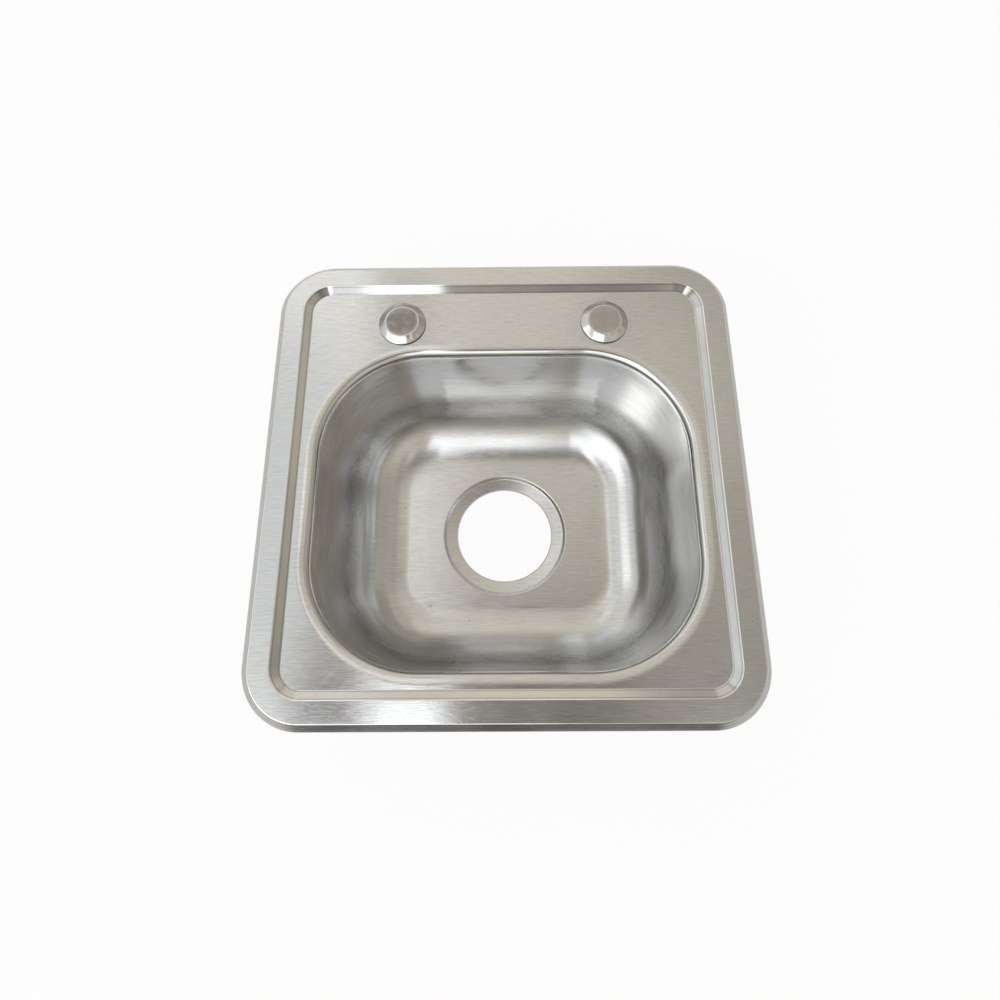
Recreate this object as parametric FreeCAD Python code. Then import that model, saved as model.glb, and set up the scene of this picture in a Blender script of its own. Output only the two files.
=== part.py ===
import FreeCAD, Part
import math
import os

# A pressed steel utility sink that drops into a worktop. Millimetres, +Z up.
# The origin is the centre of the outline on the worktop's upper face.
# X runs from left to right and Y from the front to the tap ledge at the back.

# Sheet and outline of the deck
sheet = 0.8
outline_x = 380.0
outline_y = 380.0
outline_corner = 45.0

# Rim: a sloping lip, a raised flat and a sloping step down to the deck
rim_height = 6.6
lip_lift = 0.4
lip_edge = 1.2
lip_width = 5.5
lip_bend = 1.2
rim_bend = 1.2
rim_flat = 15.7
step_width = 7.1
step_bend = 2.0
deck_height = 3.56

# Flat strips between the step and the rolled mouth of the bowl
side_strip = 6.7
front_strip = 5.3
tap_ledge = 51.0
landing = 1.0

# Bowl
mouth_roll = 7.0
mouth_lip = 0.5
mouth_corner_radius = 85.0
bowl_depth = 118.0
wall_lean = 14.0
wall_lead = 1.0
floor_fillet = 48.0

# Drain hole in its recessed seat
drain_radius = 45.0
seat_width = 11.0
recess_slope = 2.5
recess_depth = 4.2
recess_bend = 1.4
seat_fall = 1.7
seat_lip = 1.0

# Damping pads under the bowl's floor, one on each side of the drain
pad_thickness = 2.0
pad_width = 26.0
pad_length = 96.0
pad_corner = 6.0
pad_clearance = 3.0

# Foam strip under the rim
gasket_width = 5.0
gasket_inset = 0.5

# Worktop that the sink is made for
cutout_inset = 12.0
worktop_thickest = 40.0
worktop_thinnest = 18.0

# Tap holes and their covers
tap_pitch = 170.0
tap_setback_share = 0.569
tap_hole_radius = 16.0
cap_radius = 19.75
cap_face_radius = 14.25
cap_height = 4.3
cap_edge = 1.0
cap_edge_round = 0.6
cap_skirt = 0.9
cap_lift = 0.3
seal_thickness = 1.5
seal_side_clearance = 0.15
seal_hole_clearance = 3.0
stud_radius = 3.0
stud_length = 34.0
stud_chamfer = 0.6
clamp_overlap = 5.0
clamp_thickness = 1.5
clamp_boss_radius = 8.0
clamp_boss_height = 1.0
clamp_hole_clearance = 0.3

# Wing nut
nut_radius = 6.5
nut_height = 8.0
nut_round = 1.0
thread_clearance = 0.05
wing_reach = 18.0
wing_drop = 15.0
wing_thickness = 2.6
wing_end = 7.0
wing_round = 4.0

# Fixing clips: where they stand, and the folded bracket
clip_from_corner = 72.0
clip_tap_clearance = 6.0
clip_setback = 12.0
bracket_sheet = 1.5
bracket_width = 12.0
bracket_bend = 2.5
bracket_gap = 1.2
bracket_foot = 10.0
bracket_nose = 0.5
collar_wall = 2.0
collar_height = 3.0
screw_headroom = 3.0
screw_stickout = 0.6

# Clip screw and its washer
screw_radius = 2.5
screw_chamfer = 0.5
head_radius = 4.6
head_height = 3.5
head_sides = 6
slot_width = 1.2
slot_depth = 1.6
washer_radius = 5.0
washer_thickness = 1.0
loose_clearance = 0.3

# Clip claw
claw_sheet = 2.0
claw_width = 12.0
claw_bend = 2.5
claw_rise = 14.0
leg_clearance = 1.0
tip_margin = 1.0
tooth_height = 3.0
tooth_count = 3
tooth_notch = 2.0

# One overrun for every cut
overrun = 5.0

# What stands in a pair, such as the tap holes: its name and its side of the middle
pair_places = [("left", -1), ("right", 1)]
quarter = 90
full_turn = 360

# Sizes that follow
step_inner = lip_width + rim_flat + step_width
lip_slope = math.atan2(rim_height - lip_edge - lip_lift, lip_width)
rim_under = rim_height - sheet
deck_under = deck_height - sheet
mouth_half_x = outline_x / 2 - step_inner - side_strip - mouth_roll
mouth_front = -outline_y / 2 + step_inner + front_strip + mouth_roll
mouth_back = outline_y / 2 - step_inner - tap_ledge - mouth_roll
mouth_half_y = (mouth_back - mouth_front) / 2
bowl_middle = (mouth_back + mouth_front) / 2
mouth_corner = min(mouth_corner_radius, mouth_half_x, mouth_half_y)
seam_level = deck_height - mouth_roll - mouth_lip
floor_level = deck_height - bowl_depth
wall_angle = math.atan2(wall_lean, seam_level - wall_lead - floor_level)
fillet_reach = floor_fillet * math.tan((math.pi / 2 - wall_angle) / 2)
floor_inset = wall_lean + fillet_reach + landing
seat_level = floor_level - recess_depth
recess_radius = drain_radius + seat_width + recess_slope
cutout_half_x = outline_x / 2 - cutout_inset
cutout_half_y = outline_y / 2 - cutout_inset
tap_y = outline_y / 2 - step_inner - tap_ledge * tap_setback_share
clamp_radius = tap_hole_radius + clamp_overlap
claw_travel = worktop_thickest - worktop_thinnest
collar_top = deck_under - claw_travel - screw_headroom - screw_stickout
bracket_bottom = collar_top - collar_height - bracket_sheet
hub_top = -worktop_thickest - tooth_height - claw_rise
washer_top = hub_top - claw_sheet
head_top = washer_top - washer_thickness
side_clip = outline_y / 2 - clip_from_corner
front_clip = outline_x / 2 - clip_from_corner
back_clip = tap_pitch / 2 + clamp_radius + clip_tap_clearance + bracket_width / 2

# Each clip: its name, its side of the outline in quarter turns, and its distance along that side
clip_places = [
    ("right_front", 0, -side_clip),
    ("right_back", 0, side_clip),
    ("back_right", 1, -back_clip),
    ("back_left", 1, back_clip),
    ("left_back", 2, -side_clip),
    ("left_front", 2, side_clip),
    ("front_left", 3, -front_clip),
    ("front_right", 3, front_clip),
]


def point(across, up):
    # A point of a section, in the upright plane through X and Z
    return FreeCAD.Vector(across, 0, up)


def line(start, end):
    return Part.LineSegment(start, end).toShape()


def corner_arc(before, corner, after, radius):
    # Where the arc that rounds a corner starts, its middle, and where it ends
    back = (before - corner).normalize()
    ahead = (after - corner).normalize()
    half = back.getAngle(ahead) / 2
    inward = (back + ahead).normalize()
    middle = corner + inward * (radius / math.sin(half) - radius)
    reach = radius / math.tan(half)
    return corner + back * reach, middle, corner + ahead * reach


def rounded_edges(points, radii):
    # An open path whose inner corners are rounded; a radius of zero keeps a corner sharp
    edges = []
    at = points[0]
    for before, corner, after, radius in zip(points, points[1:], points[2:], radii):
        if radius > 0:
            start, middle, end = corner_arc(before, corner, after, radius)
            edges += [line(at, start), Part.Arc(start, middle, end).toShape()]
            at = end
        else:
            edges.append(line(at, corner))
            at = corner
    edges.append(line(at, points[-1]))
    return edges


def left_of(start, end):
    # The unit normal on the left of a run, in the plane of the sections
    along = (end - start).normalize()
    return point(-along.z, along.x)


def shifted(points, distance):
    # The same path, moved to its left by a distance
    normals = [left_of(start, end) for start, end in zip(points, points[1:])]
    moved = [points[0] + normals[0] * distance]
    for corner, first, second in zip(points[1:], normals, normals[1:]):
        moved.append(corner + (first + second) * (distance / (1 + first.dot(second))))
    moved.append(points[-1] + normals[-1] * distance)
    return moved


def shifted_radii(points, radii, distance):
    # The radii of the moved path: less on the inside of a bend and more on its outside
    moved = []
    for before, corner, after, radius in zip(points, points[1:], points[2:], radii):
        turn = left_of(before, corner).dot((after - corner).normalize())
        moved.append(radius - math.copysign(distance, turn * distance) if radius > 0 else 0)
    return moved


def sheet_section(points, radii, thickness):
    # The section of a folded or drawn sheet, which lies on the left of its path
    behind = shifted(points, thickness)
    behind_radii = shifted_radii(points, radii, thickness)
    edges = rounded_edges(points, radii)
    edges.append(line(points[-1], behind[-1]))
    edges += rounded_edges(behind[::-1], behind_radii[::-1])
    edges.append(line(behind[0], points[0]))
    return Part.Face(Part.Wire(edges))


def closed_section(points, radii):
    # A closed outline with its first corners rounded; it starts half way along its last side
    start = (points[-1] + points[0]) / 2
    every = radii + [0] * len(points)
    return Part.Face(Part.Wire(rounded_edges([start] + points + [start], every)))


def turned(section):
    # A section turned all the way round the upright axis
    return section.revolve(FreeCAD.Vector(), FreeCAD.Vector(0, 0, 1), full_turn)


def joined(pieces):
    # Pieces that are one sheet or one casting, without the seams between them
    solid = pieces[0].multiFuse(pieces[1:]).removeSplitter()
    if len(solid.Solids) != 1:
        raise ValueError("pieces of one node don't meet")
    return solid.Solids[0]


def placed(shape, turns, place):
    # A copy, turned by quarter turns about the upright axis and then moved
    copy = shape.copy()
    copy.rotate(FreeCAD.Vector(), FreeCAD.Vector(0, 0, 1), turns * quarter)
    copy.translate(place)
    return copy


def around(make_section, half_x, half_y, corner):
    # A section carried round a rounded rectangle. It is made at the corner's radius.
    section = make_section(corner)
    run_x = half_x - corner
    run_y = half_y - corner
    centres = [(run_x, run_y), (-run_x, run_y), (-run_x, -run_y), (run_x, -run_y)]
    bend = section.revolve(FreeCAD.Vector(), FreeCAD.Vector(0, 0, 1), quarter)
    pieces = []
    for turns, (x, y) in enumerate(centres):
        centre = FreeCAD.Vector(x, y, 0)
        length = 2 * (run_y if turns % 2 else run_x)
        run = section.extrude(FreeCAD.Vector(0, length, 0))
        pieces += [placed(bend, turns, centre), placed(run, turns + 1, centre)]
    return pieces


def rounded_plate(half_x, half_y, corner, bottom, top):
    # A flat plate with rounded corners
    edges = []
    for signs in [(1, 1), (-1, 1), (-1, -1), (1, -1)]:
        edges.append(FreeCAD.Vector(signs[0] * half_x, signs[1] * half_y, bottom))
    box = Part.Face(Part.makePolygon(edges + edges[:1])).extrude(FreeCAD.Vector(0, 0, top - bottom))
    upright = [edge for edge in box.Edges if abs(edge.Vertexes[0].Z - edge.Vertexes[1].Z) > 0]
    return box.makeFillet(corner, upright)


def post(radius, bottom, top, x=0, y=0):
    return Part.makeCylinder(radius, top - bottom, FreeCAD.Vector(x, y, bottom))


def make_deck():
    # The rim, the flat part with its tap holes, and the roll round the bowl's mouth
    def rim_section(corner):
        points = [
            point(corner, lip_lift),
            point(corner, lip_lift + lip_edge),
            point(corner - lip_width, rim_height),
            point(corner - lip_width - rim_flat, rim_height),
            point(corner - step_inner, deck_height),
            point(corner - step_inner - landing, deck_height),
        ]
        return sheet_section(points, [lip_bend, rim_bend, step_bend, step_bend], sheet)

    def mouth_section(corner):
        points = [
            point(corner + mouth_roll + landing, deck_height),
            point(corner, deck_height),
            point(corner, seam_level),
        ]
        return sheet_section(points, [mouth_roll], sheet)

    inset = step_inner + landing
    flat = rounded_plate(outline_x / 2 - inset, outline_y / 2 - inset, outline_corner - inset,
                         deck_under, deck_height)
    margin = mouth_roll + landing
    opening = rounded_plate(mouth_half_x + margin, mouth_half_y + margin, mouth_corner + margin,
                            deck_under - overrun, deck_height + overrun)
    flat = flat.cut(placed(opening, 0, FreeCAD.Vector(0, bowl_middle, 0)))
    pieces = around(rim_section, outline_x / 2, outline_y / 2, outline_corner)
    for piece in around(mouth_section, mouth_half_x, mouth_half_y, mouth_corner):
        pieces.append(placed(piece, 0, FreeCAD.Vector(0, bowl_middle, 0)))
    deck = joined([flat] + pieces)
    for name, side in pair_places:
        hole = post(tap_hole_radius, deck_under - overrun, deck_height + overrun,
                    side * tap_pitch / 2, tap_y)
        deck = deck.cut(hole)
    return deck.Solids[0]


def make_bowl():
    # Tapering walls, the flat floor and the recessed seat round the drain hole
    def wall_section(corner):
        points = [
            point(corner, seam_level),
            point(corner, seam_level - wall_lead),
            point(corner - wall_lean, floor_level),
            point(corner - floor_inset, floor_level),
        ]
        return sheet_section(points, [0, floor_fillet], sheet)

    recess = [
        point(recess_radius + recess_bend + landing, floor_level),
        point(recess_radius, floor_level),
        point(recess_radius - recess_slope, seat_level + seat_fall),
        point(drain_radius + seat_lip, seat_level),
        point(drain_radius, seat_level),
    ]
    floor = rounded_plate(mouth_half_x - floor_inset, mouth_half_y - floor_inset,
                          mouth_corner - floor_inset, floor_level - sheet, floor_level)
    floor = floor.cut(post(recess[0].x, floor_level - overrun, floor_level + overrun))
    walls = around(wall_section, mouth_half_x, mouth_half_y, mouth_corner)
    seat = turned(sheet_section(recess, [recess_bend, recess_bend, 0], sheet))
    bowl = joined([floor, seat] + walls)
    return placed(bowl, 0, FreeCAD.Vector(0, bowl_middle, 0))


def make_gasket():
    # Foam strip on the underside of the raised rim, inside the lip
    outer = lip_width + rim_bend * math.tan(lip_slope / 2) + gasket_inset
    inner = outer + gasket_width
    strip = rounded_plate(outline_x / 2 - outer, outline_y / 2 - outer, outline_corner - outer,
                          0, rim_under)
    hollow = rounded_plate(outline_x / 2 - inner, outline_y / 2 - inner, outline_corner - inner,
                           -overrun, rim_height + overrun)
    return strip.cut(hollow).Solids[0]


def make_pad():
    # Flat pad glued under the floor, on the upright axis
    top = floor_level - sheet
    return rounded_plate(pad_width / 2, pad_length / 2, pad_corner, top - pad_thickness, top)


def make_cap():
    # Cover with a sloping edge, a skirt round its seal and a stud, on the upright axis
    top = deck_height + cap_height
    skirt = deck_height + cap_lift
    seat = deck_height + seal_thickness
    end = seat - stud_length
    points = [
        point(0, top),
        point(cap_face_radius, top),
        point(cap_radius, skirt + cap_edge),
        point(cap_radius, skirt),
        point(cap_radius - cap_skirt, skirt),
        point(cap_radius - cap_skirt, seat),
        point(stud_radius, seat),
        point(stud_radius, end + stud_chamfer),
        point(stud_radius - stud_chamfer, end),
        point(0, end),
    ]
    return turned(closed_section(points, [0, cap_edge, cap_edge_round]))


def make_seal():
    # Rubber ring in the cap's hollow
    top = deck_height + seal_thickness
    seal = post(cap_radius - cap_skirt - seal_side_clearance, deck_height, top)
    return seal.cut(post(stud_radius + seal_hole_clearance, deck_height - overrun, top + overrun))


def make_clamp_plate():
    # Round plate under the tap hole, with a raised seat for the wing nut
    low = deck_under - clamp_thickness
    plate = post(clamp_radius, low, deck_under)
    boss = post(clamp_boss_radius, low - clamp_boss_height, low)
    hole = post(stud_radius + clamp_hole_clearance, low - overrun, deck_under + overrun)
    return joined([plate, boss]).cut(hole).Solids[0]


def make_wing_nut():
    # Hub with two wings that hang down and outward
    top = deck_under - clamp_thickness - clamp_boss_height
    low = top - nut_height
    hub = [point(0, top), point(nut_radius, top), point(nut_radius, low), point(0, low)]
    hub = turned(closed_section(hub, [0, 0, nut_round]))
    wing = closed_section([
        point(0, top - nut_round),
        point(nut_radius, top - nut_round),
        point(wing_reach, top - wing_drop + wing_end),
        point(wing_reach, top - wing_drop),
        point(nut_radius, low),
        point(0, low),
    ], [0, 0, wing_round, wing_round / 2])
    wing = wing.extrude(FreeCAD.Vector(0, wing_thickness, 0))
    wing.translate(FreeCAD.Vector(0, -wing_thickness / 2, 0))
    thread = post(stud_radius + thread_clearance, top - wing_drop - overrun, top + overrun)
    nut = joined([hub, wing, placed(wing, 2, FreeCAD.Vector())])
    return nut.cut(thread).Solids[0]


def make_bracket():
    # Folded lug. Its foot lies under the deck, and its collar holds the screw on the upright axis.
    foot_end = cutout_inset + clip_setback - step_inner - bracket_gap
    web = foot_end - bracket_foot
    nose = screw_radius + collar_wall + bracket_nose
    points = [
        point(foot_end, deck_under),
        point(web, deck_under),
        point(web, bracket_bottom),
        point(nose, bracket_bottom),
    ]
    strip = sheet_section(points, [bracket_bend, bracket_bend], bracket_sheet)
    strip = strip.extrude(FreeCAD.Vector(0, bracket_width, 0))
    strip.translate(FreeCAD.Vector(0, -bracket_width / 2, 0))
    collar = post(screw_radius + collar_wall, bracket_bottom, collar_top)
    hole = post(screw_radius + thread_clearance, bracket_bottom - overrun, collar_top + overrun)
    return joined([strip, collar]).cut(hole).Solids[0]


def make_screw():
    # Screw with its head at the bottom, slotted from below
    tip = collar_top + screw_stickout
    shank = turned(closed_section([
        point(0, tip),
        point(screw_radius - screw_chamfer, tip),
        point(screw_radius, tip - screw_chamfer),
        point(screw_radius, head_top),
        point(0, head_top),
    ], []))
    low = head_top - head_height
    corners = []
    for side in range(head_sides + 1):
        angle = 2 * math.pi * side / head_sides
        corners.append(FreeCAD.Vector(head_radius * math.cos(angle), head_radius * math.sin(angle), low))
    head = Part.Face(Part.makePolygon(corners)).extrude(FreeCAD.Vector(0, 0, head_height))
    slot = Part.makeBox(2 * head_radius + 2 * overrun, slot_width, slot_depth + overrun,
                        FreeCAD.Vector(-head_radius - overrun, -slot_width / 2, low - overrun))
    return joined([shank, head]).cut(slot).Solids[0]


def make_washer():
    washer = post(washer_radius, head_top, washer_top)
    return washer.cut(post(screw_radius + loose_clearance, head_top - overrun, washer_top + overrun))


def make_claw():
    # Claw whose hub turns about the screw, and whose toothed tip reaches under the worktop
    tip = cutout_inset + clip_setback - tip_margin - claw_sheet
    leg = clip_setback - leg_clearance - claw_sheet
    points = [
        point(0, hub_top),
        point(leg, hub_top),
        point(leg, hub_top + claw_rise),
        point(tip, hub_top + claw_rise),
        point(tip, -worktop_thickest),
    ]
    bends = [claw_bend, claw_bend + claw_sheet, tooth_notch / 2]
    strip = sheet_section(points, bends, -claw_sheet)
    strip = strip.extrude(FreeCAD.Vector(0, claw_width, 0))
    strip.translate(FreeCAD.Vector(0, -claw_width / 2, 0))
    hub = post(claw_width / 2, washer_top, hub_top)
    claw = joined([strip, hub])
    claw = claw.cut(post(screw_radius + loose_clearance, washer_top - overrun, hub_top + overrun))
    pitch = claw_width / tooth_count
    for gap in range(1, tooth_count):
        middle = gap * pitch - claw_width / 2
        notch = [
            FreeCAD.Vector(tip - overrun, middle - tooth_notch / 2, -worktop_thickest),
            FreeCAD.Vector(tip - overrun, middle + tooth_notch / 2, -worktop_thickest),
            FreeCAD.Vector(tip - overrun, middle, -worktop_thickest - tooth_notch),
        ]
        wedge = Part.Face(Part.makePolygon(notch + notch[:1]))
        claw = claw.cut(wedge.extrude(FreeCAD.Vector(2 * overrun, 0, 0)))
    return claw.Solids[0]


def clip_place(turns, along):
    # The screw's axis of one clip, set back from the edge of the cut-out
    half = cutout_half_y if turns % 2 else cutout_half_x
    place = FreeCAD.Vector(half - clip_setback, along, 0)
    return placed(Part.Vertex(place), turns, FreeCAD.Vector()).Point


def export(node, shape):
    shape.exportStep("parts/" + node + ".step")
    print(node, round(shape.Volume), shape.isValid(), len(shape.Solids))


os.makedirs("parts", exist_ok=True)
export("deck", make_deck())
export("bowl", make_bowl())
export("rim_gasket", make_gasket())

pad_reach = recess_radius + recess_bend + pad_clearance + pad_width / 2
for name, side in pair_places:
    place = FreeCAD.Vector(side * pad_reach, bowl_middle, 0)
    export("sound_pad_" + name, placed(make_pad(), 0, place))

tap_pieces = [
    ("cap", make_cap()),
    ("cap_seal", make_seal()),
    ("clamp_plate", make_clamp_plate()),
    ("wing_nut", make_wing_nut()),
]
for name, side in pair_places:
    for piece, shape in tap_pieces:
        export(piece + "_" + name, placed(shape, 0, FreeCAD.Vector(side * tap_pitch / 2, tap_y, 0)))

clip_pieces = [
    ("clip_bracket", make_bracket()),
    ("clip_washer", make_washer()),
    ("clip_screw", make_screw()),
    ("clip_claw", make_claw()),
]
for name, turns, along in clip_places:
    for piece, shape in clip_pieces:
        export(piece + "_" + name, placed(shape, turns, clip_place(turns, along)))
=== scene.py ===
import math
import bpy
import bmesh
from mathutils import Matrix, Vector, noise
from mathutils.geometry import delaunay_2d_cdt


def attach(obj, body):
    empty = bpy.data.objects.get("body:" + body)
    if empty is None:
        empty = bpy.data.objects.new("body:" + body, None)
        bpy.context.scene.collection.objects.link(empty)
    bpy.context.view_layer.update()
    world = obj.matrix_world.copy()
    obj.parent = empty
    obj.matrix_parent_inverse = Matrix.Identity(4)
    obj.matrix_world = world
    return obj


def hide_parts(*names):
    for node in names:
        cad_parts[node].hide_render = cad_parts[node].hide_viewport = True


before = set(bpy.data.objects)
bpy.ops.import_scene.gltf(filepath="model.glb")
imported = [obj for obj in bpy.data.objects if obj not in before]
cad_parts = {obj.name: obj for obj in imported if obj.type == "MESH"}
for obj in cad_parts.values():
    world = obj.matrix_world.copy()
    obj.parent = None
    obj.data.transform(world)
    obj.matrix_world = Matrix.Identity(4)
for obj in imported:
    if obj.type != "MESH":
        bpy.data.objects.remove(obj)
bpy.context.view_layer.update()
scene = bpy.context.scene
mm = 0.001                                            # pieces are written in millimetres
print("stage: frame loaded")


def addObject(name, data):
    made = bpy.data.objects.new(name, data)
    scene.collection.objects.link(made)
    return made


# Camera: above the front half of the sink and close to it, so the rim spreads towards the viewer
camera = {
    "lens": 21.3035,
    "place": (-0.24, -148.682, 442.296),
    "turn": (16.04175, 0.50021, -0.27556),
}
cameraData = bpy.data.cameras.new("camera")
cameraData.lens = camera["lens"]
cameraData.sensor_width = 36.0
cameraObject = addObject("camera", cameraData)
cameraObject.location = Vector(camera["place"]) * mm
cameraObject.rotation_euler = [math.radians(angle) for angle in camera["turn"]]
scene.camera = cameraObject
scene.view_settings.view_transform = "Standard"

# Sheet and outline sizes that several pieces share
sink = {
    "sheet": 0.8, "halfX": 190.0, "halfY": 190.0, "corner": 45.0,
    "deckHeight": 3.56, "rimHeight": 6.6, "stepInner": 28.3, "landing": 1.0,
    "mouthHalfX": 148.0, "mouthHalfY": 126.55, "mouthCorner": 85.0, "mouthRoll": 7.0,
    "bowlMiddle": -22.85, "seamLevel": -3.94, "floorLevel": -114.44, "recessDepth": 4.2,
    "tapX": 85.0, "tapY": 132.681, "tapHole": 16.0,
}


# Small tools for nodes
def addNode(tree, kind, values=None, **settings):
    made = tree.nodes.new("ShaderNode" + kind)
    for name, value in settings.items():
        setattr(made, name, value)
    for key, value in (values or {}).items():
        if isinstance(value, bpy.types.NodeSocket):
            tree.links.new(value, made.inputs[key])
        else:
            made.inputs[key].default_value = value
    return made


def openGroup(name, sizes):
    # A node group that takes a place and some sizes
    group = bpy.data.node_groups.new(name, "ShaderNodeTree")
    group.interface.new_socket("Place", in_out="INPUT", socket_type="NodeSocketVector")
    for label, size in sizes.items():
        socket = group.interface.new_socket(label, in_out="INPUT", socket_type="NodeSocketFloat")
        socket.default_value = size
    return group, group.nodes.new("NodeGroupInput").outputs


def closeGroup(group, values):
    out = group.nodes.new("NodeGroupOutput").inputs
    for label, value in values.items():
        group.interface.new_socket(label, in_out="OUTPUT", socket_type="NodeSocketFloat")
        group.links.new(value, out[label])
    return group


def groupNode(tree, group, place, values):
    return addNode(tree, "Group", {"Place": place, **values}, node_tree=group).outputs


def computed(tree, operation, first, second=0.0):
    return addNode(tree, "Math", {0: first, 1: second}, operation=operation).outputs[0]


def product(tree, first, second):
    return computed(tree, "MULTIPLY", first, second)


def averaged(tree, weights, *given):
    # The sum of the named values, each times its weight
    total = None
    for name, weight in weights.items():
        value = next(values[name] for values in given if name in values)
        if total is None:
            total = product(tree, value, weight)
        else:
            total = addNode(tree, "Math", {0: value, 1: weight, 2: total},
                            operation="MULTIPLY_ADD").outputs[0]
    return total


def ramped(tree, value, low, high, toLow=0.0, toHigh=1.0, kind="SMOOTHSTEP"):
    return addNode(tree, "MapRange", {0: value, 1: low, 2: high, 3: toLow, 4: toHigh},
                   interpolation_type=kind).outputs[0]


def linear(tree, value, low, high, toLow=0.0, toHigh=1.0):
    return ramped(tree, value, low, high, toLow, toHigh, "LINEAR")


def between(tree, value, low, high, soft):
    rise = ramped(tree, value, low - soft, low + soft)
    return product(tree, rise, ramped(tree, value, high - soft, high + soft, 1.0, 0.0))


def blended(tree, factor, first, second):
    return addNode(tree, "Mix", {0: factor, 2: first, 3: second}).outputs[0]


def toned(tree, factor, dark, bright):
    # A mix of two colours; each is a socket or three written values
    tones = [tone if isinstance(tone, bpy.types.NodeSocket) else (*tone, 1) for tone in (dark, bright)]
    return addNode(tree, "Mix", {0: factor, 6: tones[0], 7: tones[1]}, data_type="RGBA").outputs[2]


def partsOf(tree, place):
    return addNode(tree, "SeparateXYZ", {0: place}).outputs


def objectPlace(tree):
    return addNode(tree, "TexCoord").outputs["Object"]


def counted(tree, place, *sizes):
    # Coordinates counted in a size for each axis
    made = [computed(tree, "DIVIDE", part, size) for part, size in zip(partsOf(tree, place), sizes)]
    return addNode(tree, "CombineXYZ", dict(enumerate(made))).outputs[0]


def noiseOf(tree, place, detail, rough=0.5, scale=1.0):
    return addNode(tree, "TexNoise", {"Vector": place, "Scale": scale, "Detail": detail,
                                      "Roughness": rough}).outputs["Fac"]


def spotsOf(tree, cells):
    return addNode(tree, "TexVoronoi", {"Vector": cells, "Scale": 1.0}).outputs


# Brushed grain: fine and broad streaks along the sheet's length, and softer mottling between them
grainForm = {"wanderScale": 9.0, "wander": 0.0014, "broadLength": 1.7, "mottleLength": 0.5,
             "mottleWidth": 3.0}


def makeGrainGroup(form):
    group, given = openGroup("brushedGrain", {"Length": 0.03, "Width": 0.0003, "Broad": 4.0})
    wander = noiseOf(group, given["Place"], detail=1.0, scale=form["wanderScale"])
    shift = addNode(group, "CombineXYZ", {1: product(group, wander, form["wander"])}).outputs[0]
    place = addNode(group, "VectorMath", {0: given["Place"], 1: shift}, operation="ADD").outputs[0]
    broadLength = product(group, given["Length"], form["broadLength"])
    broadWidth = product(group, given["Width"], given["Broad"])
    mottleLength = product(group, broadLength, form["mottleLength"])
    mottleWidth = product(group, broadWidth, form["mottleWidth"])

    def streaked(along, across, detail, rough=0.6):
        return noiseOf(group, counted(group, place, along, across, across), detail, rough)

    return closeGroup(group, {"Fine": streaked(given["Length"], given["Width"], detail=2.0),
                              "Streaks": streaked(broadLength, broadWidth, detail=3.0),
                              "Mottle": streaked(mottleLength, mottleWidth, detail=3.0, rough=0.55)})


# Use: long hairline scratches in two directions, wiped smudges and tiny pits
useForm = {"turns": (0.5, -0.9), "scratch": (0.76, 0.82), "core": (0.02, 0.05), "chance": (0.9, 0.94)}


def makeUseGroup(form):
    group, given = openGroup("handledSurface", {"Scratch Length": 0.03, "Scratch Width": 0.00025,
                                                "Smudge Size": 0.03, "Pit Spacing": 0.012})
    place, wide = given["Place"], given["Scratch Width"]
    lines = []
    for turn in form["turns"]:
        turned = addNode(group, "VectorRotate", {"Vector": place, "Angle": turn},
                         rotation_type="Z_AXIS").outputs[0]
        line = noiseOf(group, counted(group, turned, given["Scratch Length"], wide, wide), detail=0.0)
        lines.append(ramped(group, line, *form["scratch"]))
    smudgePlace = counted(group, place, *[given["Smudge Size"]] * 3)
    spots = spotsOf(group, counted(group, place, *[given["Pit Spacing"]] * 3))
    chance = addNode(group, "SeparateColor", {0: spots["Color"]}).outputs[0]
    core = ramped(group, spots["Distance"], *form["core"], 1.0, 0.0)
    return closeGroup(group, {"Scratches": computed(group, "MAXIMUM", *lines),
                              "Smudges": noiseOf(group, smudgePlace, detail=4.0, rough=0.55),
                              "Pits": product(group, core, ramped(group, chance, *form["chance"]))})


# Moulded or foamed surface: shallow cells and a finer tooth
poreForm = {"pore": (0.1, 0.7), "toothScale": 3.0}


def makePoreGroup(form):
    group, given = openGroup("poredSurface", {"Pore Size": 0.001})
    cells = counted(group, given["Place"], *[given["Pore Size"]] * 3)
    tooth = noiseOf(group, cells, detail=3.0, rough=0.6, scale=form["toothScale"])
    return closeGroup(group, {"Pores": ramped(group, spotsOf(group, cells)["Distance"], *form["pore"]),
                              "Tooth": tooth})


# Marks left by drawing: lines that run round the bowl, and softer patches between them
patchStretch = 3.5


def makeDrawnGroup():
    group, given = openGroup("drawnMarks", {"Length": 0.03, "Width": 0.0008, "Patch Size": 0.012})
    patchLength = product(group, given["Patch Size"], patchStretch)
    lines = counted(group, given["Place"], given["Length"], given["Length"], given["Width"])
    patches = counted(group, given["Place"], patchLength, patchLength, given["Patch Size"])
    return closeGroup(group, {"Lines": noiseOf(group, lines, detail=3.0, rough=0.6),
                              "Patches": noiseOf(group, patches, detail=4.0, rough=0.6)})


grainGroup = makeGrainGroup(grainForm)
useGroup = makeUseGroup(useForm)
poreGroup = makePoreGroup(poreForm)
drawnGroup = makeDrawnGroup()


def newMaterial(name, values):
    material = bpy.data.materials.new(name)
    material.use_nodes = True
    tree = material.node_tree
    shader = tree.nodes["Principled BSDF"]
    for key, value in values.items():
        shader.inputs[key].default_value = value
    return material, tree, shader


def dress(tree, shader, colour, rough, height, depth):
    bump = addNode(tree, "Bump", {"Height": height, "Distance": depth, "Strength": 1.0})
    for name, value in (("Base Color", colour), ("Roughness", rough), ("Normal", bump.outputs[0])):
        tree.links.new(value, shader.inputs[name])


# Stretches of a noise's range, from its darkest to its brightest use
spans = {"tone": (0.36, 0.64), "patch": (0.35, 0.65), "rough": (0.3, 0.7)}

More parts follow.
